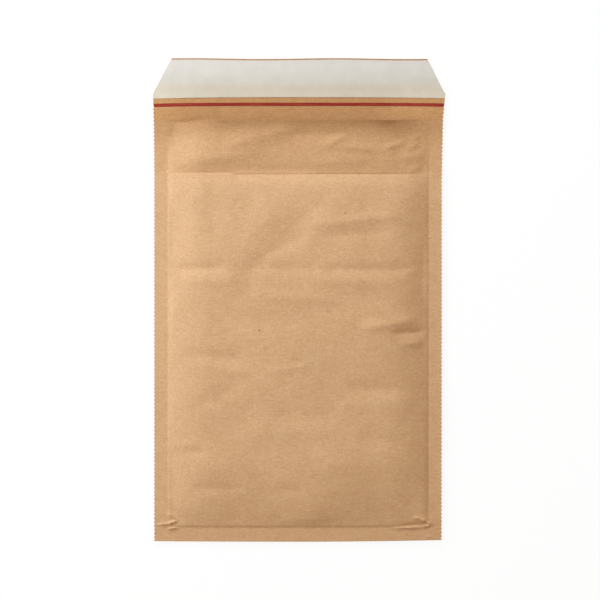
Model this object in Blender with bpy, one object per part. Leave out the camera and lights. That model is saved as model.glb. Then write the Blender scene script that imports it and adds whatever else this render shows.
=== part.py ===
"""Padded kraft envelope, the size that takes papers of 220 by 340 mm.

A kraft paper sheet is folded at the bottom and sealed along both sides. A pouch of bubble
film is sealed into the side seams. The flap carries a red tear tape and an adhesive strip
under a release liner.

Metres, +Z up. The envelope lies on its back with the flap open. X runs across it and Y runs
from the bottom fold to the tip of the flap. The origin is at the middle of the outline, on
the surface that the back panel lies on. A station is a distance along Y from the bottom fold.
"""

import bmesh
import bpy

# Outline of the paper
WIDTH = 0.240               # over both side seams, at the mouth
BODY_LENGTH = 0.350         # bottom fold to mouth
FLAP_LENGTH = 0.051         # mouth to the tip of the flap
FLAP_TIP_WIDTH = 0.212
BODY_PULL_IN = 0.0009       # how far the padding draws each side in
FLAP_SPREAD = 0.0013        # how far each side of the flap stands out past the mouth
LEDGE_STATION = 0.0216      # mouth to the ledge where the flap starts to taper
LEDGE_RUN = 0.0033
LEDGE_STEP = 0.0020
PINK_PITCH = 0.003175       # teeth of the pinked side edges
PINK_DEPTH = 0.0010
PINK_ABOVE_MOUTH = 0.0105   # the teeth run on past the mouth by this much

# Sheet thicknesses
PAPER = 0.00015
FILM = 0.00010              # bubble film where a seam has crushed it flat
BUBBLE_FILM = 0.0030        # bubble film with its bubbles full
TAPE = 0.00008
ADHESIVE = 0.00010
RELEASE_LINER = 0.00008
SKIN_GAP = 0.00010          # clearance between sheets that lie on each other

# Seams and folds
SEAM_WIDTH = 0.011          # sealed band along each side
FILM_INSET = 0.0060         # film edge to paper edge, inside the seam
SLOT_CLEARANCE = 0.0005     # room between the film edge and the glued edge of the paper
FOLD_RADIUS = 0.0004
FOLD_EDGE = 0.0003          # flat left on the outside of the bottom fold
BOTTOM_MARGIN = 0.0120      # bottom fold to the pressed line under the padding
LINER_START = 0.0010        # pressed line to the fold of the film
LINER_FOLD = 0.0020
LINER_TO_MOUTH = 0.0450     # top edge of the film to the mouth
EDGE_STEP_RUN = 0.0015      # length over which the front panel drops past the film

# Heights above the surface
PAD_HEIGHT = 0.0115         # at the inner ends of the side slopes
CROWN = 0.0020              # how much higher the middle of the padding stands
PAD_END_HEIGHT = 0.0113     # at the top edge of the film
BELOW_MOUTH_HEIGHT = 0.0099
RIDGE_HEIGHT = 0.0102
NECK_HEIGHT = 0.0092
LIP_HEIGHT = 0.0100
CREASE_DIP = 0.0008
SEAM_LIFT = 0.0040          # the padding holds the side seams and bottom fold off the surface
FLAP_ARCH = 0.0024
FLAP_TIP_HEIGHT = 0.0010

# Where those heights change, as lengths along the envelope
SIDE_SLOPE = 0.022          # seam to full height, where the film holds the panels apart
MOUTH_SIDE_SLOPE = 0.040    # the same at the mouth, where only paper spans the seams
BOTTOM_SLOPE = 0.022
PAD_END_RUN = 0.029
CREASE_TO_MOUTH = 0.122
CREASE_REACH = 0.009
RIDGE_TO_MOUTH = 0.028
NECK_TO_MOUTH = 0.009
LIFT_FADE = 0.060
ARCH_TO_MOUTH = 0.026

# What lies on the flap, measured from the mouth
TAPE_CENTRE = 0.0130
TAPE_WIDTH = 0.0028
RELEASE_START = 0.0188
RELEASE_TO_TIP = 0.0008
ADHESIVE_START = 0.0240
ADHESIVE_TO_TIP = 0.0050

# How finely the sheets are divided
MIDDLE_STEPS = 4            # columns from the middle to each side slope
SLOPE_STEPS = 5
BODY_STEPS = 7
PAD_END_STEPS = 3

FILM_GROWTH = 1.6           # bubble film is full where the panels are this near to full loft

LENGTH = BODY_LENGTH + FLAP_LENGTH
SEAM_THICKNESS = 2 * (PAPER + SKIN_GAP + FILM) + SKIN_GAP
LINER_BOTTOM = BOTTOM_MARGIN + LINER_START
LINER_TOP = BODY_LENGTH - LINER_TO_MOUTH
SLOT_TOP = LINER_TOP + EDGE_STEP_RUN
CREASE = BODY_LENGTH - CREASE_TO_MOUTH
PINK_TOP = BODY_LENGTH + PINK_ABOVE_MOUTH


def ramp(distance, run):
    """Rises smoothly from 0 to 1 while distance goes from 0 to run."""
    t = min(max(distance / run, 0.0), 1.0)
    return t * t * (3 - 2 * t)


def swell(distance, run):
    """Rises from 0 to 1 like the edge of a pillow, steepest at the start."""
    t = min(max(distance / run, 0.0), 1.0)
    return t * (2 - t)


def follow(points, station, ease=False):
    """Value at a station between listed (station, value) points, straight or eased."""
    if station <= points[0][0]:
        return points[0][1]
    for (start, low), (end, high) in zip(points, points[1:]):
        if station <= end:
            share = (station - start) / (end - start)
            return low + (high - low) * (ramp(share, 1.0) if ease else share)
    return points[-1][1]


def half_width(station):
    """Half the width of the paper, halfway between the tips and roots of its teeth."""
    ledge = BODY_LENGTH + LEDGE_STATION
    return follow([
        (LINER_TOP, WIDTH / 2 - BODY_PULL_IN),
        (BODY_LENGTH, WIDTH / 2),
        (ledge, WIDTH / 2 + FLAP_SPREAD),
        (ledge + LEDGE_RUN, WIDTH / 2 + FLAP_SPREAD - LEDGE_STEP),
        (LENGTH, FLAP_TIP_WIDTH / 2),
    ], station)


def edge_reach(station):
    """Half the width of the paper at its outer edge, with the teeth of the pinked part."""
    if station >= PINK_TOP:
        return half_width(station)
    from_tip = abs((station / PINK_PITCH) % 1.0 - 0.5) * 2
    return half_width(station) + PINK_DEPTH * (from_tip - 0.5)


def teeth_between(start, end):
    """Stations of the tips and roots strictly between two rows, clear of both."""
    half_pitch = PINK_PITCH / 2
    clear = half_pitch / 8
    first = int(start / half_pitch)
    last = int(min(end, PINK_TOP) / half_pitch) + 1
    stations = [n * half_pitch for n in range(first, last + 1)]
    return [s for s in stations if start + clear < s < min(end, PINK_TOP) - clear]


def pocket_half(station):
    return half_width(station) - SEAM_WIDTH


def side_slope(station):
    return follow([(LINER_TOP, SIDE_SLOPE), (BODY_LENGTH, MOUTH_SIDE_SLOPE)], station)


def loft(x, station):
    """How far the padding opens the panels, from 0 at the seams to 1 in the middle."""
    side = swell(pocket_half(station) - abs(x), side_slope(station))
    return side * swell(station - BOTTOM_MARGIN, BOTTOM_SLOPE)


def back_height(x, station):
    """Underside of the back panel and of the flap, which is the same sheet."""
    if station > BODY_LENGTH:
        arch = BODY_LENGTH + ARCH_TO_MOUTH
        return follow([
            (BODY_LENGTH, 0.0),
            (arch, FLAP_ARCH),
            (LENGTH, FLAP_TIP_HEIGHT),
        ], station, ease=True)
    return SEAM_LIFT * (1 - loft(x, station)) * ramp(BODY_LENGTH - station, LIFT_FADE)


def pad_height(station):
    """Outer face of the front panel along the middle of the envelope."""
    crease = CREASE_DIP * (1 - ramp(abs(station - CREASE), CREASE_REACH))
    return follow([
        (LINER_TOP - PAD_END_RUN, PAD_HEIGHT),
        (LINER_TOP, PAD_END_HEIGHT),
        (SLOT_TOP, BELOW_MOUTH_HEIGHT),
        (BODY_LENGTH - RIDGE_TO_MOUTH, RIDGE_HEIGHT),
        (BODY_LENGTH - NECK_TO_MOUTH, NECK_HEIGHT),
        (BODY_LENGTH, LIP_HEIGHT),
    ], station, ease=True) - crease


def crown(x, station):
    """How much higher the front panel stands inside its edges, like a slack pillow."""
    across = 1 - (x / pocket_half(station)) ** 2
    share = (station - BOTTOM_MARGIN) / (LINER_TOP - BOTTOM_MARGIN)
    return CROWN * max(across, 0.0) * max(4 * share * (1 - share), 0.0)


def front_height(x, station):
    """Outer face of the front panel."""
    seam = back_height(x, station) + SEAM_THICKNESS
    top = pad_height(station) + crown(x, station)
    return seam + (top - SEAM_THICKNESS) * loft(x, station)


def cover_height(surface, x, station):
    """The cover's four faces: outer and inner back, then inner and outer front."""
    low = back_height(x, station)
    high = front_height(x, station)
    if station < FOLD_RADIUS:
        pinch = (SEAM_THICKNESS - FOLD_EDGE) / 2 * (1 - station / FOLD_RADIUS)
        low += pinch
        high -= pinch
    return (low, low + PAPER, high - PAPER, high)[surface]


def liner_height(surface, x, station):
    """The film's four faces, in the same order, inside those of the cover."""
    film = FILM + (BUBBLE_FILM - FILM) * min(1.0, FILM_GROWTH * loft(x, station))
    low = back_height(x, station) + PAPER + SKIN_GAP
    high = front_height(x, station) - PAPER - SKIN_GAP
    return (low, low + film, high - film, high)[surface]


def skin_height(lift, thickness):
    """Faces of a thin strip at a height above the inner side of the flap."""
    def height(surface, x, station):
        low = back_height(x, station) + PAPER + lift
        return low + thickness * surface
    return height


def even_steps(start, end, count):
    return [start + (end - start) * n / count for n in range(count + 1)]


def grid_rows():
    """Stations of the rows that every sheet shares, from the bottom fold to the tip."""
    slope_end = BOTTOM_MARGIN + BOTTOM_SLOPE
    pad_end = LINER_TOP - PAD_END_RUN
    ledge = BODY_LENGTH + LEDGE_STATION
    rows = [0.0, FOLD_RADIUS, BOTTOM_MARGIN, LINER_BOTTOM, LINER_BOTTOM + LINER_FOLD]
    rows += even_steps(BOTTOM_MARGIN, slope_end, SLOPE_STEPS)
    rows += even_steps(slope_end, CREASE - CREASE_REACH, BODY_STEPS)
    rows += [CREASE, CREASE + CREASE_REACH]
    rows += even_steps(pad_end, LINER_TOP, PAD_END_STEPS)
    rows += [SLOT_TOP, BODY_LENGTH - RIDGE_TO_MOUTH]
    rows += [BODY_LENGTH - NECK_TO_MOUTH, BODY_LENGTH]
    rows += [BODY_LENGTH + TAPE_CENTRE - TAPE_WIDTH / 2, BODY_LENGTH + TAPE_CENTRE + TAPE_WIDTH / 2]
    rows += [BODY_LENGTH + RELEASE_START, BODY_LENGTH + ADHESIVE_START]
    rows += [ledge, ledge + LEDGE_RUN, BODY_LENGTH + (FLAP_LENGTH + ARCH_TO_MOUTH) / 2]
    rows += [LENGTH - ADHESIVE_TO_TIP, LENGTH - RELEASE_TO_TIP, LENGTH]
    return sorted({round(row, 7) for row in rows})


def column_places(station):
    """X of every column line at a station, from the left edge to the right."""
    half = half_width(station)
    flat = pocket_half(station) - side_slope(station)
    right = even_steps(0.0, flat, MIDDLE_STEPS)[1:]
    right += even_steps(flat, pocket_half(station), SLOPE_STEPS)[1:]
    right += [half - FILM_INSET, half - FILM_INSET + SLOT_CLEARANCE, edge_reach(station)]
    return [-x for x in reversed(right)] + [0.0] + right


ROWS = grid_rows()
COLUMNS = len(column_places(0.0)) - 1


def from_edge(column):
    """How many columns lie between this one and the nearer side edge."""
    return min(column, COLUMNS - 1 - column)


# Which layers of a sheet are solid over a cell: 0 is the back, 2 the front, 1 between them
NOTHING = frozenset()
BACK_ONLY = frozenset({0})
POCKET = frozenset({0, 2})
SEALED = frozenset({0, 1, 2})
EDGE_COLUMN, CLEAR_COLUMN, FILM_COLUMN = 0, 1, 2


def cover_layers(column, station):
    inset = from_edge(column)
    if station > BODY_LENGTH:
        return BACK_ONLY
    if station < FOLD_RADIUS or inset == EDGE_COLUMN:
        return SEALED
    if inset in (CLEAR_COLUMN, FILM_COLUMN) and station > SLOT_TOP:
        return SEALED
    return POCKET


def liner_layers(column, station):
    inset = from_edge(column)
    if inset < FILM_COLUMN or not LINER_BOTTOM < station < LINER_TOP:
        return NOTHING
    if inset == FILM_COLUMN or station < LINER_BOTTOM + LINER_FOLD:
        return SEALED
    return POCKET


def strip_layers(start, end, inset):
    """A strip across the flap between two stations, from a column in from each edge."""
    def layers(column, station):
        inside = start < station < end and from_edge(column) >= inset
        return BACK_ONLY if inside else NOTHING
    return layers


def sheet_solid(layers_over, height):
    """One closed mesh of stacked layers over the shared grid of rows and columns."""
    mesh = bmesh.new()
    made = {}

    def point(column, station, surface):
        key = (column, round(station, 7), surface)
        if key not in made:
            x = column_places(station)[column]
            made[key] = mesh.verts.new((x, station - LENGTH / 2, height(surface, x, station)))
        return made[key]

    def edge_points(column, row, surface):
        """Points up a column line over one row, with the teeth where it is a side edge."""
        start, end = ROWS[row], ROWS[row + 1]
        low, high = point(column, start, surface), point(column, end, surface)
        between = teeth_between(start, end) if column in (0, COLUMNS) else []
        chain = [low]
        for station in between:
            key = (column, round(station, 7), surface)
            if key not in made:
                share = (station - start) / (end - start)
                z = low.co.z + (high.co.z - low.co.z) * share
                x = column_places(station)[column]
                made[key] = mesh.verts.new((x, station - LENGTH / 2, z))
            chain.append(made[key])
        return chain + [high]

    def layers_at(column, row):
        if not (0 <= column < COLUMNS and 0 <= row < len(ROWS) - 1):
            return NOTHING
        return layers_over(column, (ROWS[row] + ROWS[row + 1]) / 2)

    def wall(low, high):
        for n in range(len(low) - 1):
            mesh.faces.new((low[n], low[n + 1], high[n + 1], high[n]))

    def cell_face(column, row, surface):
        left = edge_points(column, row, surface)
        right = edge_points(column + 1, row, surface)
        if len(left) == len(right) == 2:
            mesh.faces.new((left[0], right[0], right[1]))
            mesh.faces.new((left[0], right[1], left[1]))
        else:
            mesh.faces.new(left + right[::-1])

    for row in range(len(ROWS) - 1):
        for column in range(COLUMNS):
            here = layers_at(column, row)
            for surface in range(4):
                if (surface in here) != (surface - 1 in here):
                    cell_face(column, row, surface)
            for step in (0, 1):
                beside = layers_at(column - 1 + 2 * step, row)
                for layer in here - beside:
                    wall(edge_points(column + step, row, layer),
                         edge_points(column + step, row, layer + 1))
                beyond = layers_at(column, row - 1 + 2 * step)
                station = ROWS[row + step]
                for layer in here - beyond:
                    ends = [[point(column + n, station, layer + up) for n in (0, 1)] for up in (0, 1)]
                    wall(*ends)
    bmesh.ops.recalc_face_normals(mesh, faces=mesh.faces)
    return mesh


def linear(value):
    """One sRGB channel, 0 to 255, as a linear value."""
    share = value / 255
    return share / 12.92 if share <= 0.04045 else ((share + 0.055) / 1.055) ** 2.4


def add_part(name, mesh, colour, roughness, opacity=1.0):
    data = bpy.data.meshes.new(name)
    mesh.to_mesh(data)
    mesh.free()
    material = bpy.data.materials.new(name)
    material.use_nodes = True
    shader = material.node_tree.nodes["Principled BSDF"]
    shader.inputs["Base Color"].default_value = [linear(v) for v in colour] + [1.0]
    shader.inputs["Metallic"].default_value = 0.0
    shader.inputs["Roughness"].default_value = roughness
    shader.inputs["Alpha"].default_value = opacity
    data.materials.append(material)
    part = bpy.data.objects.new(name, data)
    bpy.context.scene.collection.objects.link(part)
    return part


def make_kraft_cover():
    """Back panel, flap and front panel: one sheet, folded at the bottom, sealed at the sides."""
    mesh = sheet_solid(cover_layers, cover_height)
    add_part("kraft_cover", mesh, colour=(205, 164, 123), roughness=0.85)


def make_bubble_liner():
    """A pouch of bubble film, folded at the bottom, its side margins held in the seams."""
    mesh = sheet_solid(liner_layers, liner_height)
    add_part("bubble_liner", mesh, colour=(232, 234, 232), roughness=0.3, opacity=0.6)


def make_tear_tape():
    """Red film tape across the flap, which the user pulls to open the sealed envelope."""
    start = BODY_LENGTH + TAPE_CENTRE - TAPE_WIDTH / 2
    layers = strip_layers(start, start + TAPE_WIDTH, EDGE_COLUMN)
    mesh = sheet_solid(layers, skin_height(SKIN_GAP, TAPE))
    add_part("tear_tape", mesh, colour=(158, 38, 42), roughness=0.35)


def make_adhesive_strip():
    """Hot-melt adhesive on the flap, under the release liner."""
    layers = strip_layers(BODY_LENGTH + ADHESIVE_START, LENGTH - ADHESIVE_TO_TIP, FILM_COLUMN)
    mesh = sheet_solid(layers, skin_height(SKIN_GAP, ADHESIVE))
    add_part("adhesive_strip", mesh, colour=(226, 214, 180), roughness=0.3)


def make_release_liner():
    """Greyish white silicone paper that covers the adhesive until the flap is closed."""
    layers = strip_layers(BODY_LENGTH + RELEASE_START, LENGTH - RELEASE_TO_TIP, EDGE_COLUMN)
    mesh = sheet_solid(layers, skin_height(SKIN_GAP + ADHESIVE + SKIN_GAP, RELEASE_LINER))
    add_part("release_liner", mesh, colour=(216, 213, 205), roughness=0.45)


for old in list(bpy.data.objects):
    bpy.data.objects.remove(old, do_unlink=True)

make_kraft_cover()
make_bubble_liner()
make_tear_tape()
make_adhesive_strip()
make_release_liner()
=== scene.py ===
"""Padded kraft envelope: its sheets, their finish, and the light and camera of the photo.

The envelope lies on its back with the flap open, and the camera looks straight down on it.
Lengths in the sections are millimetres. A station is a distance along the envelope from the
bottom fold towards the tip of the flap, and a reach is how far a fold spreads on each side.
"""

import math

import bpy
import numpy as np
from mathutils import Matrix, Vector, noise


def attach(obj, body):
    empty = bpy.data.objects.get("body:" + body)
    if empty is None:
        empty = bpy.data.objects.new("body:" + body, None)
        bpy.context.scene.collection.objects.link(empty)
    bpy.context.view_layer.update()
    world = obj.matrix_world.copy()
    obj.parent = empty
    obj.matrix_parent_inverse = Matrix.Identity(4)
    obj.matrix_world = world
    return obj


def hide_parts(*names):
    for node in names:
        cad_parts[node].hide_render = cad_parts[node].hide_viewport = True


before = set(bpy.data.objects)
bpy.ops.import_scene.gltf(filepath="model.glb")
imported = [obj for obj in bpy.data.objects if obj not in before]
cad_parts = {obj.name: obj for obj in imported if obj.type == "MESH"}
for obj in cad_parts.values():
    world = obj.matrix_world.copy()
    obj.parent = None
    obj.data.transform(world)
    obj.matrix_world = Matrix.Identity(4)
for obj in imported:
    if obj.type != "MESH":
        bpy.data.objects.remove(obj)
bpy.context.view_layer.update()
bpy.ops.object.select_all(action="DESELECT")


# Kraft cover
# One sheet of 90 g/m2 machine-glazed kraft paper. It is folded at the bottom, glued along
# both sides and cut through with a pinking die, so back, flap and front are one piece.
MM = 0.001
BODY_LENGTH = 350.0
LENGTH = 401.0
PAPER = 0.15
SEAM_WIDTH = 11.0
FILM_MARGIN = 6.0           # film edge to paper edge, inside the seam
GLUED_THICKNESS = 0.33      # two papers
FILLED_THICKNESS = 0.60     # two papers with two flattened layers of film between them
BOTTOM_MARGIN = 12.0
LINER_TOP = 305.0
PINK_PITCH = 3.175
PINK_DEPTH = 0.95
PINK_TOP = 360.5

# The two side edges are cut a little differently: (station, distance from the middle line)
LEFT_EDGE = [(0, 119.2), (300, 119.2), (345, 119.6), (371, 120.3), (374.5, 118.9), (401, 104.8)]
RIGHT_EDGE = [(0, 119.2), (300, 119.4), (350, 120.4), (371.5, 122.3), (375, 120.2), (401, 107.4)]
CORNER_RISE = (0.5, 1.4)    # how far the bottom fold runs up at its left and right corners
CORNER_RISE_FADE = 60.0
TIP_WAVE = 0.35             # the flap was cut a little wavy
TIP_WAVE_RUN = 19.0
TIP_CURL = (0.8, 1.2)       # and its cut edge curls up: height and run

# Rows and columns of the sheet
EDGE_COLUMNS = [0, 1.2, 3, 5.5, 8, 10, 10.8, 11.4, 12.2, 13.4, 14.8, 16.4, 18.2, 20.2, 22.4,
                24.8, 27.4]
MIDDLE_COLUMNS = 88
FINE_STATIONS = [10.6, 11.4, 12.0, 12.6, 13.3, 14.9, 16.7, 17.9, 303.6, 304.1, 304.6, 305.1, 305.5,
                 306.0, 306.5, 307.2, 308.0, 347.0, 348.6, 371.0, 374.5, 375.0, 399.8]
FOLD_RADIUS = 0.25
FOLD_ANGLES = [-60, -30, 0, 30, 60]

# The padding: (station, value) of the panel's height, slopes and lift between the seams
PAD_HEIGHTS = [(286, 9.0), (305, 7.8), (318, 9.2), (333, 9.5), (343, 10.8), (355, 16.1)]
FILM_RISE = (2.2, 11.0)     # the film lifts the paper below its top edge: height and run
FILM_STEP = (0.5, 0.8)      # its cut edge shows as a line: height and run
FILM_GROOVE = (0.40, 0.8)   # just above that line the paper dips: depth and reach
CROWN = 2.0                 # how much higher the middle stands than the slopes' ends
SIDE_SLOPES = [(305, 35), (350, 46)]
BOTTOM_SLOPE = 56.0
CREASED_START = 0.2         # the slopes start with a crease of this height
CREASED_RUN = 1.3
# The padding holds the seams off the table, and they rise again towards the mouth's corners
SEAM_LIFTS = [(0, 2.4), (18, 4.3), (296, 4.3), (330, 1.8), (350, 4.4), (374, 0.6), (401, 0.0)]
FLAP_HEIGHTS = [(350, 0), (361, 0.8), (373, 2.5), (383, 2.8), (401, 1.5)]
FILM_EDGE_JOG = (-55.0, 1.8)    # the film's top edge steps down here, by this much

# Folds in the front panel: x and station of both ends, reach, height
FOLDS = [
    # the transverse crease across the padding
    (-102, 227, -60, 227, 7, -1.3), (-50, 227.5, 20, 226, 8, -0.9), (15, 226, 99, 225, 7, -1.2),
    (-98, 217, -50, 216, 8, 0.6), (10, 215, 96, 216, 9, 0.6), (84, 221, 99, 225, 4, 0.5),
    # above the film, where only paper spans the seams
    (-100, 314, -28, 323, 9, 0.8), (-62, 328, 2, 343, 11, 1.5), (16, 330, 70, 324, 6, 0.8),
    (71, 325, 106, 338, 5, 0.4), (84, 318, 106, 322, 4, 0.5), (-72, 308.5, 22, 308, 5, -0.6),
    (10, 314, 60, 317, 6, 0.5), (-20, 336, 50, 340, 6, -0.5), (71, 326, 85, 330, 3, 0.8),
    (22, 329, 40, 336, 3.5, 0.9), (45, 330, 60, 324, 3.5, 0.8), (89, 324, 100, 331, 3, 0.8),
    (92, 307, 102, 311, 3, 0.7),
    # slack between the film's edge and the crease
    (4, 300, -56, 238, 20, 1.2), (28, 290, -20, 244, 12, -0.7), (-72, 300, -68, 244, 13, -0.8),
    (6, 262, 90, 271, 7, 1.0), (14, 252, 80, 257, 7, -0.7), (10, 257, -42, 229, 10, -1.0),
    (-88, 290, -84, 240, 9, 0.4), (50, 300, 62, 276, 9, -0.4),
    # below the crease
    (-38, 230, -41, 203, 9, -0.6), (-56, 224, -54, 203, 8, 0.6), (-34, 203, 38, 200, 9, 0.9),
    (48, 209, 90, 190, 10, -0.8), (52, 177, 99, 184, 7, 1.4), (78, 172.5, 106, 174, 3.5, -1.2),
    (84, 164, 104, 165, 4, 0.9), (-60, 186, 10, 180, 12, -0.5),
    (-94, 155, -42, 151, 8, -0.9), (-72, 143, -38, 140, 7, 0.6), (-44, 131, -86, 111, 11, -0.9),
    (-30, 140, 8, 146, 5, 0.5), (-4, 152, 2, 147, 4, -0.5),
    (36, 127, 92, 125, 9, -0.8), (30, 114, 94, 116, 10, 0.5), (-24, 105, 34, 103, 12, -0.6),
    (-56, 90, 38, 93, 12, 0.5), (52, 87, 90, 80, 9, -0.8), (-106, 81, -84, 79, 4, 0.4),
    (-94, 76, -74, 73, 5, -0.8), (-88, 44, -44, 44, 7, -0.7), (-18, 44, 6, 41, 6, -0.6),
    (10, 60, 60, 66, 12, 0.5), (-40, 62, -86, 58, 10, 0.4),
]

# Sharp puckers where the pad is pressed flat at the two bottom corners
PUCKERS = [
    (-108, 24, -101, 18, 2.0, 1.8), (-100, 17.6, -108, 14.4, 1.6, 1.7),
    (-107, 14.6, -117, 13.4, 1.4, 1.2), (-118, 12.2, -101, 12.6, 1.2, -1.3),
    (-108, 10.6, -100, 11.2, 1.4, 1.4),
    (96, 20, 106, 16.5, 1.8, 1.6), (103, 17.4, 111, 13.2, 1.4, 1.5), (86, 12.8, 109, 14, 1.3, -1.4),
    (78, 10.9, 105, 11.2, 1.4, 1.1), (103, 11.2, 110, 12.6, 1.4, 1.1), (106, 3, 111, 3, 1.2, 0.6),
]

# The front panel's lip gapes between two places (x, x, height, run) and is a little short there
LIP_GAPES = [(54, 86, 1.1, 2.6), (-119, -74, 0.8, 2.2)]
LIP_RECESSES = [(58, 94, 0.6), (-119, -78, 0.6)]

# Slack in the paper: wavelength and height, with a seed for each place
PAPER_WAVES = [(64, 2.1), (26, 0.6), (10, 0.09)]
PAPER_SEED = 3.7
FLAP_WAVES = [(45, 0.35), (16, 0.10)]
FLAP_SEED = 8.1
FLAP_SLACK_START = 12.0     # the flap's slack grows over this length from the mouth

# Bubbles that show through the paper as dimples near the right seam
DIMPLE_PITCH = 10.8
DIMPLE_RADIUS = 4.0
DIMPLE_DEPTH = 0.22
DIMPLE_X = 103.0
DIMPLE_STATIONS = (196, 246)


def ease(distance, run):
    """Rises smoothly from 0 to 1 while distance goes from 0 to run."""
    t = np.clip(distance / run, 0, 1)
    return t * t * (3 - 2 * t)


def swell(distance, run):
    """Rises from 0 to 1 like the edge of a pillow, steepest at the start."""
    t = np.clip(distance / run, 0, 1)
    return t * (2 - t)


def follow(points, station, rounding=0):
    """Values at stations between listed (station, value) points, with rounded corners."""
    places, values = np.transpose(np.array(points, float))
    nearby = [share * rounding for share in (-1, -0.5, 0, 0.5, 1)] if rounding else [0]
    return sum(np.interp(station + shift, places, values) for shift in nearby) / len(nearby)


def left_edge(station):
    """X of the left side edge, without its teeth."""
    return -follow(LEFT_EDGE, station)


def right_edge(station):
    """X of the right side edge, without its teeth."""
    return follow(RIGHT_EDGE, station)


def seam_distance(x, station):
    """How far inside the nearer side seam a place is."""
    return np.minimum(x - left_edge(station), right_edge(station) - x) - SEAM_WIDTH


def loft(x, station):
    """How far the padding opens the panels, from 0 at the seams to 1 in the middle."""
    inside = seam_distance(x, station)
    run = follow(SIDE_SLOPES, station)
    near_mouth = ease(station - 312, 28)
    side = swell(inside, run) * (1 - near_mouth) + ease(inside, run) * near_mouth
    return side * swell(station - BOTTOM_MARGIN, BOTTOM_SLOPE)


def film_edge(x):
    """Station of the film's top edge, which isn't cut quite straight."""
    jog, step = FILM_EDGE_JOG
    return LINER_TOP + step / 2 - step * ease(x - jog, 3) + 0.4 * ease(x, 100)


def fold(x, station, ends, reach, height):
    """A soft ridge or valley between two ends, which fades out at both of them."""
    x0, s0, x1, s1 = ends
    run = math.hypot(x1 - x0, s1 - s0)
    along = ((x - x0) * (x1 - x0) + (station - s0) * (s1 - s0)) / run
    across = ((x - x0) * (s1 - s0) - (station - s0) * (x1 - x0)) / run
    fade = max(0.3 * run, min(2 * reach, 0.5 * run))
    ends_faded = ease(along + reach / 2, fade) * ease(run - along + reach / 2, fade)
    return height * ends_faded * np.exp(-2 * np.abs(across / reach) ** 1.6)


def waves(x, station, sizes, seed):
    """Slack in thin paper: gentle bumps of several wavelengths."""
    height = np.zeros(len(x))
    for wavelength, size in sizes:
        places = np.column_stack([x / wavelength, station / wavelength])
        height += [size * noise.noise(Vector((a, b, seed))) for a, b in places]
    return height


def lip_recess(x):
    """How far short of the mouth line the front panel's edge stops."""
    recess = np.zeros(x.shape)
    for start, end, depth in LIP_RECESSES:
        recess += depth * ease(x - start, (end - start) / 2) * ease(end - x, (end - start) / 2)
    return recess


def back_height(x, station):
    """Underside of the back panel, and of the flap, which is the same sheet."""
    lifted = follow(SEAM_LIFTS, station, 8) * (1 - loft(x, station))
    return lifted + follow(FLAP_HEIGHTS, station, 5)


def glued_thickness(x, station):
    """Two papers at the very edge, and two papers with flattened film further in."""
    filled = ease(seam_distance(x, station) + SEAM_WIDTH - FILM_MARGIN + 1, 2)
    filled = filled * ease(station - BOTTOM_MARGIN + 1, 2) * ease(film_edge(x) + 2.5 - station, 2)
    return GLUED_THICKNESS + (FILLED_THICKNESS - GLUED_THICKNESS) * filled


def relief(x, station):
    """Creases, puckers and dimples of the front panel, over its plain padded form."""
    height = np.zeros(len(x))
    for *ends, reach, size in FOLDS:
        height += fold(x, station, ends, reach, size)
    height += waves(x, station, PAPER_WAVES, PAPER_SEED)
    inside = ease(seam_distance(x, station), 5) * ease(station - BOTTOM_MARGIN, 8)
    height *= inside
    low, high = DIMPLE_STATIONS
    for n in range(int((high - low) / DIMPLE_PITCH) + 1):
        away = np.hypot(x - DIMPLE_X, station - low - n * DIMPLE_PITCH)
        height -= DIMPLE_DEPTH * np.exp(-(away / DIMPLE_RADIUS) ** 2 * 2)
    for *ends, reach, size in PUCKERS:
        height += fold(x, station, ends, reach, size)
    past_sides = ease(seam_distance(x, station), CREASED_RUN) * ease(316 - station, 14)
    height += CREASED_START * past_sides * ease(station - BOTTOM_MARGIN, CREASED_RUN)
    for start, end, gape, run in LIP_GAPES:
        across = ease(x - start, (end - start) / 2) * ease(end - x, (end - start) / 2)
        height += gape * across * np.clip((station - BODY_LENGTH) / run + 1, 0, 1) ** 2
    return height


def front_height(x, station):
    """Outer face of the front panel."""
    seam = back_height(x, station) + glued_thickness(x, station)
    share = (station - BOTTOM_MARGIN) / (LINER_TOP - BOTTOM_MARGIN)
    half = (right_edge(station) - left_edge(station)) / 2 - SEAM_WIDTH
    crown = CROWN * np.clip(1 - (x / half) ** 2, 0, 1) * np.clip(4 * share * (1 - share), 0, 1)
    near_film_edge = np.clip(1 - np.abs(station - LINER_TOP) / 11, 0, 1)
    shifted = station + (LINER_TOP - film_edge(x)) * near_film_edge
    top = follow(PAD_HEIGHTS, shifted, 4) + crown
    for size, run in (FILM_RISE, FILM_STEP):
        top = top + size * swell(LINER_TOP - shifted, run)
    depth, reach = FILM_GROOVE
    top = top - depth * np.exp(-((shifted - LINER_TOP - 0.4) / reach) ** 2)
    height = seam + (top - glued_thickness(x, station)) * loft(x, station)
    return np.maximum(height + relief(x, station), seam)


def pinked(x_edge, station, side):
    """The toothed cut of a side edge, which stops a little above the mouth."""
    from_tip = np.abs((station / PINK_PITCH) % 1.0 - 0.5) * 2
    return x_edge + side * PINK_DEPTH * (from_tip - 0.5) * (station < PINK_TOP)


def column_places(station):
    """X of every column of the sheet at each station: one row of places for each station."""
    left, right = left_edge(station), right_edge(station)
    last = EDGE_COLUMNS[-1]
    middle = np.linspace(0, 1, MIDDLE_COLUMNS + 1)[1:-1]
    inner = (left + last)[:, None] + (right - left - 2 * last)[:, None] * middle
    near = left[:, None] + np.array(EDGE_COLUMNS, float)
    far = right[:, None] - np.array(EDGE_COLUMNS[::-1], float)
    near[:, 0] = pinked(left, station, -1)
    far[:, -1] = pinked(right, station, 1)
    return np.hstack([near, inner, far])


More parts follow.
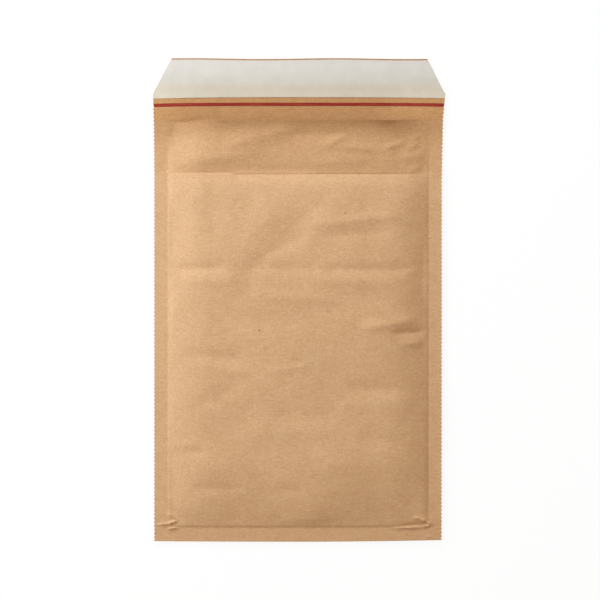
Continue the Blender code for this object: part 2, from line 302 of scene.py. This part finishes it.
def sheet_stations(start, end, pitch, extra):
    """Even stations from start to end with the extra ones between them, none too close."""
    even = [start] + [n * pitch for n in range(1, 400) if start < n * pitch < end] + [end]
    added = [s for s in extra if start < s < end and min(abs(s - e) for e in even) > 0.25]
    return np.array(sorted(even + added))


def shaped_grid(name, places_x, places_y, places_z):
    """A grid from the primitive, every vertex moved to its place. Arrays are rows by columns."""
    rows, columns = places_x.shape
    bpy.ops.mesh.primitive_grid_add(x_subdivisions=columns - 1, y_subdivisions=rows - 1, size=2)
    piece = bpy.context.object
    piece.name = piece.data.name = name
    places = np.stack([places_x, places_y, places_z], axis=-1).reshape(-1, 3) * MM
    piece.data.vertices.foreach_set("co", places.ravel())
    piece.data.update()
    return piece


def thicken(piece, thickness, offset=-1, inner_material=0):
    """Gives a sheet its thickness, on the side away from its faces when offset is -1."""
    solid = piece.modifiers.new("thickness", "SOLIDIFY")
    solid.thickness = thickness * MM
    solid.offset = offset
    solid.material_offset = inner_material
    bpy.context.view_layer.objects.active = piece
    bpy.ops.object.modifier_apply(modifier=solid.name)
    bpy.ops.object.select_all(action="DESELECT")
    piece.select_set(True)
    bpy.ops.object.shade_smooth_by_angle(angle=math.radians(40))
    bpy.ops.object.select_all(action="DESELECT")


def fold_runs_up(x, station):
    """How far the bottom fold bends up towards its corners, fading up the envelope."""
    left_rise, right_rise = CORNER_RISE
    half = right_edge(0)
    rise = np.where(x < 0, left_rise, right_rise) * (x / half) ** 2 - 0.25
    return rise * ease(CORNER_RISE_FADE - station, CORNER_RISE_FADE)


def kraft_cover():
    """The whole sheet: from the tip of the flap down the back, round the fold, up the front."""
    extra = [FOLD_RADIUS] + FINE_STATIONS
    back = sheet_stations(FOLD_RADIUS, LENGTH, PINK_PITCH / 2, extra)[::-1]
    front = sheet_stations(FOLD_RADIUS, BODY_LENGTH, PINK_PITCH / 2, extra)
    angles = np.radians(FOLD_ANGLES)
    arc = FOLD_RADIUS * (1 - np.cos(angles))
    station = np.concatenate([back, arc, front])
    x = column_places(station)
    stations = np.repeat(station[:, None], x.shape[1], axis=1)
    low = back_height(x.ravel(), stations.ravel()).reshape(x.shape)
    high = np.array(low)
    first = len(back) + len(arc)
    high[first:] = front_height(x[first:].ravel(), stations[first:].ravel()).reshape(-1, x.shape[1])
    z = np.array(high)
    for n, angle in enumerate(angles):
        middle = low[len(back) + n] + GLUED_THICKNESS / 2
        z[len(back) + n] = middle + GLUED_THICKNESS / 2 * math.sin(angle)
    on_flap = stations[:len(back)] > BODY_LENGTH
    slack = waves(x[:len(back)].ravel(), stations[:len(back)].ravel(), FLAP_WAVES, FLAP_SEED)
    slack = slack.reshape(-1, x.shape[1])
    slack = slack * ease(stations[:len(back)] - BODY_LENGTH, FLAP_SLACK_START)
    z[:len(back)] += np.where(on_flap, slack, 0)
    height, run = TIP_CURL
    z[:len(back)] += height * np.clip(1 - (LENGTH - stations[:len(back)]) / run, 0, 1)
    tip = TIP_WAVE * np.sin(x / TIP_WAVE_RUN) * ease(stations - LENGTH + 8, 8)
    y = stations - LENGTH / 2 + fold_runs_up(x, stations) + tip
    y[first:] -= lip_recess(x[first:]) * ease(stations[first:] - BODY_LENGTH + 5, 5)
    return shaped_grid("cover_paper", x, y, z), len(back)


def thin_out_back(cover, back_rows):
    """Keeps every fourth row inside the back panel, which is plain, and all its edge teeth."""
    mesh = cover.data
    columns = 2 * len(EDGE_COLUMNS) + MIDDLE_COLUMNS - 1
    flap_rows = int((LENGTH - BODY_LENGTH) / (PINK_PITCH / 2)) + 6
    bpy.context.view_layer.objects.active = cover
    bpy.ops.object.mode_set(mode="EDIT")
    bpy.ops.mesh.select_mode(type="EDGE")
    bpy.ops.mesh.select_all(action="DESELECT")
    bpy.ops.object.mode_set(mode="OBJECT")
    ends = np.zeros(len(mesh.edges) * 2, int)
    mesh.edges.foreach_get("vertices", ends)
    row, column = np.divmod(ends.reshape(-1, 2), columns)
    plain = (row[:, 0] == row[:, 1]) & (row[:, 0] > flap_rows) & (row[:, 0] < back_rows - 12)
    plain &= (row[:, 0] % 4 != 0) & (column.min(1) > 0) & (column.max(1) < columns - 1)
    mesh.edges.foreach_set("select", plain)
    bpy.ops.object.mode_set(mode="EDIT")
    bpy.ops.mesh.dissolve_edges(use_verts=True)
    bpy.ops.object.mode_set(mode="OBJECT")


def linear(hex_colour):
    """An sRGB colour such as "cba37a" as linear red, green, blue and alpha."""
    channels = [int(hex_colour[n:n + 2], 16) / 255 for n in (0, 2, 4)]
    dark = [c / 12.92 for c in channels]
    bright = [((c + 0.055) / 1.055) ** 2.4 for c in channels]
    return [b if c > 0.04045 else d for c, d, b in zip(channels, dark, bright)] + [1.0]


def material_of(name, piece):
    """A new material on a piece, its node tree, and its Principled shader."""
    material = bpy.data.materials.new(name)
    material.use_nodes = True
    piece.data.materials.append(material)
    return material.node_tree, material.node_tree.nodes["Principled BSDF"]


def node(tree, kind, settings=None, inputs=None, links=None):
    """Adds a node, with its settings, its input values and what is linked into its inputs."""
    made = tree.nodes.new(kind)
    for name, value in (settings or {}).items():
        setattr(made, name, value)
    for name, value in (inputs or {}).items():
        made.inputs[name].default_value = value
    for name, socket in (links or {}).items():
        tree.links.new(socket, made.inputs[name])
    return made


def per_metre(millimetres):
    """A pattern's scale on Object coordinates, for a feature of that size."""
    return 1 / (millimetres * MM)


def varied(tree, colour, pattern, depth):
    """A colour made darker and richer, or paler, by a pattern, as dense and loose fibres are.

    Inputs 7 to 10 of the node are the ends of its vector ranges.
    """
    share = node(tree, "ShaderNodeMapRange", {"data_type": "FLOAT_VECTOR"})
    tree.links.new(pattern, share.inputs["Vector"])
    share.inputs[7].default_value = (0.3, 0.3, 0.3)
    share.inputs[8].default_value = (0.7, 0.7, 0.7)
    share.inputs[9].default_value = [1 - depth * c for c in RICHER]
    share.inputs[10].default_value = [1 + depth * c for c in RICHER]
    made = node(tree, "ShaderNodeVectorMath", {"operation": "MULTIPLY"})
    tree.links.new(colour, made.inputs[0])
    tree.links.new(share.outputs["Vector"], made.inputs[1])
    return made.outputs["Vector"]


def y_ramp(tree, along, tones):
    """Colours at listed stations, blended along the envelope."""
    first, last = tones[0][0], tones[-1][0]
    share = node(tree, "ShaderNodeMapRange", inputs={
        "From Min": (first - LENGTH / 2) * MM, "From Max": (last - LENGTH / 2) * MM},
        links={"Value": along})
    ramp = node(tree, "ShaderNodeValToRGB", links={"Fac": share.outputs["Result"]})
    while len(ramp.color_ramp.elements) < len(tones):
        ramp.color_ramp.elements.new(0.5)
    for stop, (station, tone) in zip(ramp.color_ramp.elements, tones):
        stop.position = (station - first) / (last - first)
        stop.color = linear(tone)
    return ramp


# Kraft paper: softwood fibres make a finely flecked brown sheet. The outer face is
# machine-glazed, so it has a broad, weak sheen, and the inner face is browner and duller.
GLAZED_KRAFT = "cba178"
INNER_KRAFT = "ca9c6e"
GLAZED_ROUGHNESS = (0.60, 0.72)
INNER_ROUGHNESS = (0.66, 0.78)
SHEEN = 0.24
RICHER = (1.0, 1.6, 2.3)    # how much more the green and blue vary than the red
# Painted shade: from the film's edge to the mouth, and over the flap, the paper is made darker and
# browner, standing in for the shade of the mouth and its lip
MOUTH_PAINTED_SHADE = [(300, "ffffff"), (308, "f8f4ee"), (334, "f5efe6"), (347, "e9dfd1"), (401, "f5efe6")]
SPECK = "7d5530"
CLOUD = 9.0                 # millimetres across one cloud of fibres
FLECK = 1.5                 # a knot of fibres, drawn wider than it is so that it shows
FIBRE_LENGTH = 6.0          # real fibres are 3 mm by 0.03 mm: drawn wider so that they show
FIBRE_WIDTH = 0.9
SPECK_SPACING = 34.0
SPECK_SIZE = 0.5
CLOUD_DEPTH = 0.025         # how much each pattern darkens or brightens the red
FLECK_DEPTH = 0.07
FIBRE_DEPTH = 0.025
FIBRE_ANGLES = [(0.12, 0.0), (-0.15, 3.0), (1.4, 7.0)]      # angle and seed of each layer
INNER_SHEEN = 0.25


def kraft_paper(name, piece, colour, roughness, specular):
    """Kraft paper with clouds, flecks, fibres, specks and painted shade. Inputs 6 and 7 mix
    colours.
    """
    tree, shader = material_of(name, piece)
    shader.inputs["Specular IOR Level"].default_value = specular
    place = node(tree, "ShaderNodeTexCoord").outputs["Object"]
    tone = node(tree, "ShaderNodeRGB")
    tone.outputs["Color"].default_value = linear(colour)
    clouds = node(tree, "ShaderNodeTexNoise", inputs={
        "Scale": per_metre(CLOUD), "Detail": 3.0, "Roughness": 0.55}, links={"Vector": place})
    flecks = node(tree, "ShaderNodeTexNoise", inputs={
        "Scale": per_metre(FLECK), "Detail": 2.0, "Roughness": 0.6}, links={"Vector": place})
    colour = varied(tree, tone.outputs["Color"], clouds.outputs["Fac"], CLOUD_DEPTH)
    colour = varied(tree, colour, flecks.outputs["Fac"], FLECK_DEPTH)
    for angle, seed in FIBRE_ANGLES:
        turned = node(tree, "ShaderNodeMapping", inputs={
            "Location": (seed, seed, 0), "Rotation": (0, 0, angle),
            "Scale": (per_metre(FIBRE_LENGTH), per_metre(FIBRE_WIDTH), per_metre(FIBRE_WIDTH))},
            links={"Vector": place})
        fibres = node(tree, "ShaderNodeTexNoise", inputs={"Scale": 1.0, "Detail": 1.0},
                      links={"Vector": turned.outputs["Vector"]})
        colour = varied(tree, colour, fibres.outputs["Fac"], FIBRE_DEPTH)
    specks = node(tree, "ShaderNodeTexVoronoi", inputs={
        "Scale": per_metre(SPECK_SPACING), "Randomness": 1.0}, links={"Vector": place})
    speck_mask = node(tree, "ShaderNodeMapRange", inputs={
        "From Min": SPECK_SIZE / SPECK_SPACING, "From Max": 2 * SPECK_SIZE / SPECK_SPACING,
        "To Min": 0.75, "To Max": 0.0}, links={"Value": specks.outputs["Distance"]})
    speckled = node(tree, "ShaderNodeMix", {"data_type": "RGBA"})
    speckled.inputs[7].default_value = linear(SPECK)
    tree.links.new(speck_mask.outputs["Result"], speckled.inputs[0])
    along = node(tree, "ShaderNodeSeparateXYZ", links={"Vector": place}).outputs["Y"]
    # painted shade: darker and browner from the film's edge to the mouth and over the flap
    painted_shade = y_ramp(tree, along, MOUTH_PAINTED_SHADE)
    shaded_colour = node(tree, "ShaderNodeVectorMath", {"operation": "MULTIPLY"})
    tree.links.new(colour, shaded_colour.inputs[0])
    tree.links.new(painted_shade.outputs["Color"], shaded_colour.inputs[1])
    tree.links.new(shaded_colour.outputs["Vector"], speckled.inputs[6])
    tree.links.new(speckled.outputs[2], shader.inputs["Base Color"])
    gloss = node(tree, "ShaderNodeMapRange", inputs={
        "To Min": roughness[0], "To Max": roughness[1]}, links={"Value": clouds.outputs["Fac"]})
    tree.links.new(gloss.outputs["Result"], shader.inputs["Roughness"])
    bump = node(tree, "ShaderNodeBump", inputs={"Strength": 0.35, "Distance": 0.04 * MM},
                links={"Height": flecks.outputs["Fac"]})
    tree.links.new(bump.outputs["Normal"], shader.inputs["Normal"])


cover, back_rows = kraft_cover()
thin_out_back(cover, back_rows)
kraft_paper("machine_glazed_kraft", cover, GLAZED_KRAFT, GLAZED_ROUGHNESS, SHEEN)
kraft_paper("kraft_inner_face", cover, INNER_KRAFT, INNER_ROUGHNESS, INNER_SHEEN)
thicken(cover, PAPER, inner_material=1)
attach(cover, "root")
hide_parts("kraft_cover")


# Bubble film pouch
# One sheet of clear polyethylene bubble film, folded at the bottom, its flat film inside and
# its bubbles against the paper. The side margins are pressed flat in the seams.
FILM = 0.12
BUBBLE_PITCH = 10.8
BUBBLE_ROW_PITCH = BUBBLE_PITCH * 0.866     # staggered rows lie closer than the bubbles in them
BUBBLE_SPAN = (-103.0, 104.0)
BUBBLE_RADIUS = 4.7
BUBBLE_HEIGHT = 2.7
FILM_BOTTOM = 17.0
FILM_COLUMN = 3.0
FILM_ROWS = 98
BUBBLE_SEGMENTS = 10


def film_half(station):
    """Middle line to the film's side edge."""
    return right_edge(station) - FILM_MARGIN


def film_depth(x, station):
    """Paper to flat film: a full bubble in the pocket, nothing in the seams."""
    return BUBBLE_HEIGHT * ease(loft(x, station), 0.5)


def film_face(x, station, on_front):
    """Height of the flat film on the back or the front side of the pouch."""
    clear = 0.03 + 0.17 * ease(seam_distance(x, station), 2)
    under_puckers = 1.1 * ease(seam_distance(x, station), 6) * ease(45 - station, 15)
    low = back_height(x, station) + PAPER + clear
    high = front_height(x, station) - PAPER - clear - under_puckers
    depth = film_depth(x, station)
    return np.where(on_front, high - depth - FILM, low + depth)


def film_pouch():
    """The flat film: down the back from its top edge, round the fold and up the front."""
    half = film_half(150.0)
    near = np.array([0.0] + [c - FILM_MARGIN for c in EDGE_COLUMNS if c > FILM_MARGIN])
    inner = half - near[-1]
    middle = np.linspace(-inner, inner, int(2 * inner / FILM_COLUMN) + 1)[1:-1]
    across = np.concatenate([-half + near, middle, half - near[::-1]])
    climb = np.linspace(0, 1, FILM_ROWS)
    x, share = np.meshgrid(across, climb)
    station = FILM_BOTTOM + share * (film_edge(x) - FILM_BOTTOM)
    back = film_face(x.ravel(), station.ravel(), False).reshape(x.shape)
    front = film_face(x.ravel(), station.ravel(), True).reshape(x.shape)
    front = np.maximum(front, back + 0.1)
    fold_row = [np.array([row]) for row in (across, np.full(len(across), FILM_BOTTOM - 0.2))]
    fold_height = (back[:1] + front[:1]) / 2
    xs = np.vstack([x[::-1], fold_row[0], x])
    stations = np.vstack([station[::-1], fold_row[1], station])
    zs = np.vstack([back[::-1], fold_height, front])
    return shaped_grid("film_pouch", xs, stations - LENGTH / 2, zs)


def one_bubble():
    """A low dome on the plane z=0, one unit in radius and height, without its base."""
    bpy.ops.mesh.primitive_uv_sphere_add(segments=BUBBLE_SEGMENTS, ring_count=6, radius=1)
    dome = bpy.context.object
    bpy.ops.object.mode_set(mode="EDIT")
    bpy.ops.mesh.select_all(action="SELECT")
    bpy.ops.mesh.bisect(plane_co=(0, 0, 0.01), plane_no=(0, 0, 1), clear_inner=True)
    bpy.ops.object.mode_set(mode="OBJECT")
    points = np.array([v.co for v in dome.data.vertices])
    faces = [list(f.vertices) for f in dome.data.polygons]
    bpy.data.objects.remove(dome)
    # a bubble is a blown cell: steep walls under a flat top
    points[:, 2] = np.clip(points[:, 2], 0, 1) ** 0.7
    return points, faces


def bubbles():
    """Every bubble of both layers, in staggered rows, the same bubble copied to each place."""
    dome, dome_faces = one_bubble()
    points, faces = [], []
    rows = int((LINER_TOP - FILM_BOTTOM) / BUBBLE_ROW_PITCH)
    for on_front in (False, True):
        for row in range(rows):
            station = FILM_BOTTOM + BUBBLE_RADIUS + 2 + row * BUBBLE_ROW_PITCH
            shift = BUBBLE_PITCH / 2 * (row % 2)
            places = np.arange(BUBBLE_SPAN[0] + shift, BUBBLE_SPAN[1], BUBBLE_PITCH)
            places = places[np.abs(places) < film_half(station) - BUBBLE_RADIUS - 6]
            places = places[film_edge(places) - station > BUBBLE_RADIUS * 0.6]
            stations = np.full(len(places), station)
            depth = film_depth(places, stations)
            for x, height in zip(places, depth):
                if height < 0.3:
                    continue
                copy = dome * (BUBBLE_RADIUS, BUBBLE_RADIUS, 1) + (x, station, 0)
                at = copy[:, 0], copy[:, 1]
                blown = copy[:, 2] * np.minimum(film_depth(*at), height)
                copy[:, 2] = film_face(*at, on_front) + (FILM + blown if on_front else -blown)
                copy[:, 1] -= LENGTH / 2
                first = len(points) * len(dome)
                points.append(copy)
                step = 1 if on_front else -1
                faces += [[first + v for v in face[::step]] for face in dome_faces]
    mesh = bpy.data.meshes.new("film_bubbles")
    mesh.from_pydata(np.concatenate(points) * MM, [], faces)
    piece = bpy.data.objects.new("film_bubbles", mesh)
    bpy.context.scene.collection.objects.link(piece)
    for face in mesh.polygons:
        face.use_smooth = True
    return piece


pouch = film_pouch()
thicken(pouch, FILM, offset=0)
domes = bubbles()

# Clear low-density polyethylene: colourless and limp, it shows by its soft highlights
FILM_TINT = "f4f6f4"
for piece, name in ((pouch, "clear_polyethylene"), (domes, "blown_polyethylene")):
    tree, shader = material_of(name, piece)
    shader.inputs["Base Color"].default_value = linear(FILM_TINT)
    shader.inputs["IOR"].default_value = 1.51
    shader.inputs["Alpha"].default_value = 0.6
    place = node(tree, "ShaderNodeTexCoord").outputs["Object"]
    crinkle = node(tree, "ShaderNodeTexNoise", inputs={
        "Scale": per_metre(5.0), "Detail": 2.0}, links={"Vector": place})
    gloss = node(tree, "ShaderNodeMapRange", inputs={"To Min": 0.16, "To Max": 0.34},
                 links={"Value": crinkle.outputs["Fac"]})
    tree.links.new(gloss.outputs["Result"], shader.inputs["Roughness"])
    bump = node(tree, "ShaderNodeBump", inputs={"Strength": 0.4, "Distance": 0.3 * MM},
                links={"Height": crinkle.outputs["Fac"]})
    tree.links.new(bump.outputs["Normal"], shader.inputs["Normal"])
    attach(piece, "root")
    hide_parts("bubble_liner")


# Tear tape
# A red polypropylene tape, 2.8 mm wide, stuck across the inside of the flap. Pulling it
# rips the sealed envelope open.
TAPE_STATION = 363.1
TAPE_WIDTH = 2.8
TAPE_THICKNESS = 0.08
TAPE_SAG = (1.1, 0.8)       # how far it runs towards the mouth at its left and right end
TAPE_INSET = 0.3
SHEET_GAP = 0.03            # air between sheets that lie on each other
STRIP_COLUMNS = 122


def flap_surface(x, station):
    """Inner face of the flap, with its slack."""
    slack = waves(x, station, FLAP_WAVES, FLAP_SEED)
    slack = slack * ease(station - BODY_LENGTH, FLAP_SLACK_START)
    return back_height(x, station) + slack + PAPER


def flap_strip(name, low_station, high_station, steps, inset, lift, waviness=None):
    """A strip that lies on the flap between two stations, given for a row of x shares."""
    share, climb = np.meshgrid(np.linspace(0, 1, STRIP_COLUMNS), np.linspace(0, 1, steps))
    guess = np.full(share.shape, (np.mean(low_station(share)) + np.mean(high_station(share))) / 2)
    for _ in range(3):
        x = left_edge(guess) + inset + share * (right_edge(guess) - left_edge(guess) - 2 * inset)
        guess = low_station(x) + climb * (high_station(x) - low_station(x))
    z = flap_surface(x.ravel(), guess.ravel()).reshape(x.shape) + lift
    if waviness is not None:
        z += waviness(x, guess)
    return shaped_grid(name, x, guess - LENGTH / 2, z)


def tape_middle(x):
    """Station of the tape's middle line, which sags at both ends."""
    left_sag, right_sag = TAPE_SAG
    return TAPE_STATION - np.where(x < 0, left_sag, right_sag) * (x / 120) ** 4


tape = flap_strip("tear_tape_strip", lambda x: tape_middle(x) - TAPE_WIDTH / 2,
                  lambda x: tape_middle(x) + TAPE_WIDTH / 2, 4, TAPE_INSET, SHEET_GAP)
thicken(tape, TAPE_THICKNESS, offset=1)

# Red polypropylene film: a deep, slightly uneven red with little gloss
TAPE_RED = "9b3b2c"
TAPE_DEEP = "862b22"
tree, shader = material_of("red_polypropylene_tape", tape)
shader.inputs["Specular IOR Level"].default_value = 0.12
place = node(tree, "ShaderNodeTexCoord").outputs["Object"]
stretched = node(tree, "ShaderNodeMapping", inputs={
    "Scale": (per_metre(22.0), per_metre(1.2), per_metre(1.2))}, links={"Vector": place})
streaks = node(tree, "ShaderNodeTexNoise", inputs={"Scale": 1.0, "Detail": 3.0},
               links={"Vector": stretched.outputs["Vector"]})
ramp = node(tree, "ShaderNodeValToRGB", links={"Fac": streaks.outputs["Fac"]})
ramp.color_ramp.elements[0].position = 0.35
ramp.color_ramp.elements[0].color = linear(TAPE_DEEP)
ramp.color_ramp.elements[1].position = 0.65
ramp.color_ramp.elements[1].color = linear(TAPE_RED)
tree.links.new(ramp.outputs["Color"], shader.inputs["Base Color"])
gloss = node(tree, "ShaderNodeMapRange", inputs={"To Min": 0.46, "To Max": 0.6},
             links={"Value": streaks.outputs["Fac"]})
tree.links.new(gloss.outputs["Result"], shader.inputs["Roughness"])
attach(tape, "root")
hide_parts("tear_tape")


# Adhesive strip
# A band of hot-melt adhesive, rolled on the flap and hidden by the release liner.
ADHESIVE_STATIONS = (374.0, 396.0)
ADHESIVE_THICKNESS = 0.10
ADHESIVE_INSET = 6.5
adhesive = flap_strip("adhesive_band", lambda x: ADHESIVE_STATIONS[0] + 0 * x,
                      lambda x: ADHESIVE_STATIONS[1] + 0 * x, 12, ADHESIVE_INSET, SHEET_GAP)
thicken(adhesive, ADHESIVE_THICKNESS, offset=1)

# Hot-melt adhesive: honey-coloured, glossy, with the ribs of the roller
ADHESIVE_PALE = "e6d9b6"
ADHESIVE_DEEP = "d8c592"
tree, shader = material_of("hot_melt_adhesive", adhesive)
place = node(tree, "ShaderNodeTexCoord").outputs["Object"]
ribs = node(tree, "ShaderNodeTexWave", {"bands_direction": "Y"}, inputs={
    "Scale": per_metre(1.5) / 20, "Distortion": 2.0, "Detail": 2.0}, links={"Vector": place})
ramp = node(tree, "ShaderNodeValToRGB", links={"Fac": ribs.outputs["Fac"]})
ramp.color_ramp.elements[0].color = linear(ADHESIVE_DEEP)
ramp.color_ramp.elements[1].color = linear(ADHESIVE_PALE)
tree.links.new(ramp.outputs["Color"], shader.inputs["Base Color"])
shader.inputs["Roughness"].default_value = 0.25
bump = node(tree, "ShaderNodeBump", inputs={"Strength": 0.4, "Distance": 0.05 * MM},
            links={"Height": ribs.outputs["Fac"]})
tree.links.new(bump.outputs["Normal"], shader.inputs["Normal"])
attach(adhesive, "root")
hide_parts("adhesive_strip")


# Release liner
# Siliconised glassine over the adhesive, cut with the flap. It is peeled off before the flap
# is stuck down.
LINER_START = 369.0
LINER_END_DROOP = (1.4, 1.0)    # its lower edge runs towards the mouth at both ends
LINER_TO_TIP = 1.1
LINER_THICKNESS = 0.08
LINER_INSET = 0.15
LINER_CRUMPLES = [(26, 0.10), (9, 0.05)]
LINER_SEED = 5.3


def liner_low(x):
    """Station of the liner's edge towards the mouth."""
    left_droop, right_droop = LINER_END_DROOP
    return LINER_START - np.where(x < 0, left_droop, right_droop) * np.abs(x / 120) ** 3


def liner_high(x):
    """Station of the liner's edge at the tip, cut along with the flap."""
    return LENGTH - LINER_TO_TIP + TIP_WAVE * np.sin(x / TIP_WAVE_RUN)


def liner_crumple(x, station):
    """How far the thin liner stands up off the adhesive."""
    lifted = waves(x.ravel(), station.ravel(), LINER_CRUMPLES, LINER_SEED).reshape(x.shape)
    return np.maximum(lifted + 0.08, 0)


release = flap_strip("release_paper_strip", liner_low, liner_high, 22, LINER_INSET,
                     SHEET_GAP + ADHESIVE_THICKNESS + SHEET_GAP, liner_crumple)
thicken(release, LINER_THICKNESS, offset=1)

# Siliconised glassine: a greyish, half-transparent white, with painted shade and light along the
# flap: palest at the tip, darker over the middle, darkest and warmest near its lower edge, paler at
# it.
LINER_TIP = "cdc6bf"
LINER_MIDDLE = "c9c2b8"
LINER_WARM_SHADE = "c9bdad"
LINER_EDGE = "cfc3b1"
# tones along the flap, which paint the liner's shade and light
liner_painted_shade = [(369.0, LINER_EDGE), (371.0, LINER_EDGE), (376.0, LINER_WARM_SHADE),
               (385.0, LINER_MIDDLE), (396.0, LINER_TIP), (401.0, LINER_TIP)]
tree, shader = material_of("siliconised_glassine", release)
place = node(tree, "ShaderNodeTexCoord").outputs["Object"]
along = node(tree, "ShaderNodeSeparateXYZ", links={"Vector": place}).outputs["Y"]
ramp = y_ramp(tree, along, liner_painted_shade)
mottle = node(tree, "ShaderNodeTexNoise", inputs={
    "Scale": per_metre(9.0), "Detail": 4.0, "Roughness": 0.6}, links={"Vector": place})
faint = node(tree, "ShaderNodeMapRange", inputs={
    "From Min": 0.3, "From Max": 0.7, "To Min": 0.96, "To Max": 1.04},
    links={"Value": mottle.outputs["Fac"]})
mottled = node(tree, "ShaderNodeVectorMath", {"operation": "SCALE"}, links={
    "Vector": ramp.outputs["Color"], "Scale": faint.outputs["Result"]})
tree.links.new(mottled.outputs["Vector"], shader.inputs["Base Color"])
shader.inputs["Roughness"].default_value = 0.6
shader.inputs["Specular IOR Level"].default_value = 0.25
bump = node(tree, "ShaderNodeBump", inputs={"Strength": 0.3, "Distance": 0.1 * MM},
            links={"Height": mottle.outputs["Fac"]})
tree.links.new(bump.outputs["Normal"], shader.inputs["Normal"])
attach(release, "root")
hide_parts("release_liner")


# Studio
# A white floor, lit by three soft windows of cool light, one past the flap and two on the left,
# and by weaker, warmer light from all round.
FLOOR_SIZE = 8.0
FLOOR_DROP = 0.0002         # metres under the envelope, so that the two faces don't flicker
LAMPS = [   # name, place in metres, size in metres, power in watts
    ("window_left", (-0.95, 0.45, 0.95), 0.5, 10.3),
    ("window_top", (-0.35, 1.42, 0.84), 0.6, 15.7),
    ("strip_left", (-1.30, 0.15, 0.50), 0.3, 4.4),
]
DAYLIGHT = (0.84, 0.985, 1.10)
SKY = (0.455, 0.362, 0.265)     # the room's walls give back a weaker and warmer light
FLOOR_WHITE = "ffffff"
FLOOR_GLOW = 0.92           # share of the floor's white that no shadow darkens

bpy.ops.mesh.primitive_plane_add(size=FLOOR_SIZE, location=(0, 0, -FLOOR_DROP))
floor = bpy.context.object
floor.name = "floor"
tree, shader = material_of("white_floor", floor)
shader.inputs["Base Color"].default_value = linear(FLOOR_WHITE)
shader.inputs["Roughness"].default_value = 1.0
shader.inputs["Specular IOR Level"].default_value = 0.0
white = node(tree, "ShaderNodeEmission", inputs={"Color": linear(FLOOR_WHITE), "Strength": 1.0})


def seen_directly(tree):
    """1 for rays from the camera, and for those that gloss or clear film sends on."""
    rays = node(tree, "ShaderNodeLightPath").outputs
    either = node(tree, "ShaderNodeMath", {"operation": "MAXIMUM"})
    tree.links.new(rays["Is Camera Ray"], either.inputs[0])
    tree.links.new(rays["Is Glossy Ray"], either.inputs[1])
    every = node(tree, "ShaderNodeMath", {"operation": "MAXIMUM"})
    tree.links.new(either.outputs["Value"], every.inputs[0])
    tree.links.new(rays["Is Transmission Ray"], every.inputs[1])
    return every.outputs["Value"]


glow = node(tree, "ShaderNodeMath", {"operation": "MULTIPLY"})
glow.inputs[1].default_value = FLOOR_GLOW
tree.links.new(seen_directly(tree), glow.inputs[0])
blend = node(tree, "ShaderNodeMixShader", links={"Fac": glow.outputs["Value"]})
tree.links.new(shader.outputs["BSDF"], blend.inputs[1])
tree.links.new(white.outputs["Emission"], blend.inputs[2])
tree.links.new(blend.outputs["Shader"], tree.nodes["Material Output"].inputs["Surface"])

world = bpy.data.worlds.new("white_room")
world.use_nodes = True
bpy.context.scene.world = world
sky = world.node_tree.nodes["Background"]
# what the camera sees of the room is white: inputs 6 and 7 are the two mixed colours
walls = node(world.node_tree, "ShaderNodeMix", {"data_type": "RGBA"})
walls.inputs[6].default_value = (*SKY, 1)
walls.inputs[7].default_value = (1, 1, 1, 1)
world.node_tree.links.new(seen_directly(world.node_tree), walls.inputs[0])
world.node_tree.links.new(walls.outputs[2], sky.inputs["Color"])

for name, place, size, power in LAMPS:
    lamp_data = bpy.data.lights.new(name, "AREA")
    lamp_data.shape = "DISK"
    lamp_data.size = size
    lamp_data.energy = power
    lamp_data.color = DAYLIGHT
    lamp = bpy.data.objects.new(name, lamp_data)
    lamp.location = place
    lamp.rotation_euler = (-Vector(place)).to_track_quat("-Z", "Y").to_euler()
    bpy.context.scene.collection.objects.link(lamp)

# The camera looks straight down from far off, and the photo's frame is 498.8 mm wide there
CAMERA_X = 1.7
CAMERA_HEIGHT = 3000.0
FRAME_WIDTH = 498.8
SENSOR = 36.0
camera_data = bpy.data.cameras.new("camera")
camera_data.sensor_width = SENSOR
camera_data.lens = SENSOR * CAMERA_HEIGHT / FRAME_WIDTH
camera = bpy.data.objects.new("camera", camera_data)
camera.location = Vector((CAMERA_X, 0, CAMERA_HEIGHT)) * MM
bpy.context.scene.collection.objects.link(camera)
bpy.context.scene.camera = camera
bpy.context.scene.view_settings.view_transform = "Standard"
